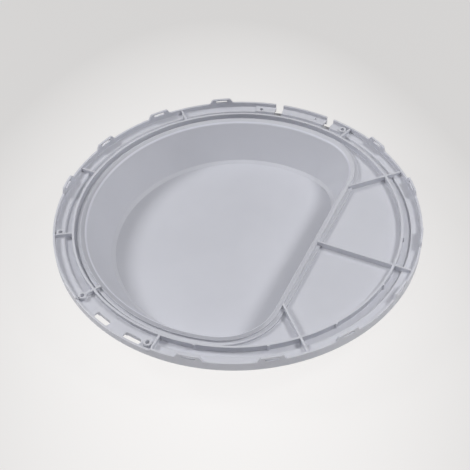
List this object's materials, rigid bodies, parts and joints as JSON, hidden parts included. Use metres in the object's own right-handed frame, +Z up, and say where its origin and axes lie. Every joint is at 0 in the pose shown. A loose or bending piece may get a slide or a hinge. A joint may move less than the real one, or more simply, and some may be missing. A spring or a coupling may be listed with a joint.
{
  "type": "tumble dryer inner door liner",
  "caption": "Round moulded plastic inner liner of a tumble dryer door, with a deep bowl that has one straight side, a ribbed flat beside it and snap tabs round the rim.",
  "frame": {"origin": "on the axis of the round rim, at the underside of the bowl's flat base", "axes": "+Z up out of the bowl's mouth, +X towards the hinge side, -Y towards the bowl's straight side"},
  "size_m": [0.4, 0.4, 0.0548],
  "materials": {
    "white_plastic": "satin"
  },
  "bodies": {
    "root": {"door_liner": "white_plastic"}
  },
  "joints": []
}
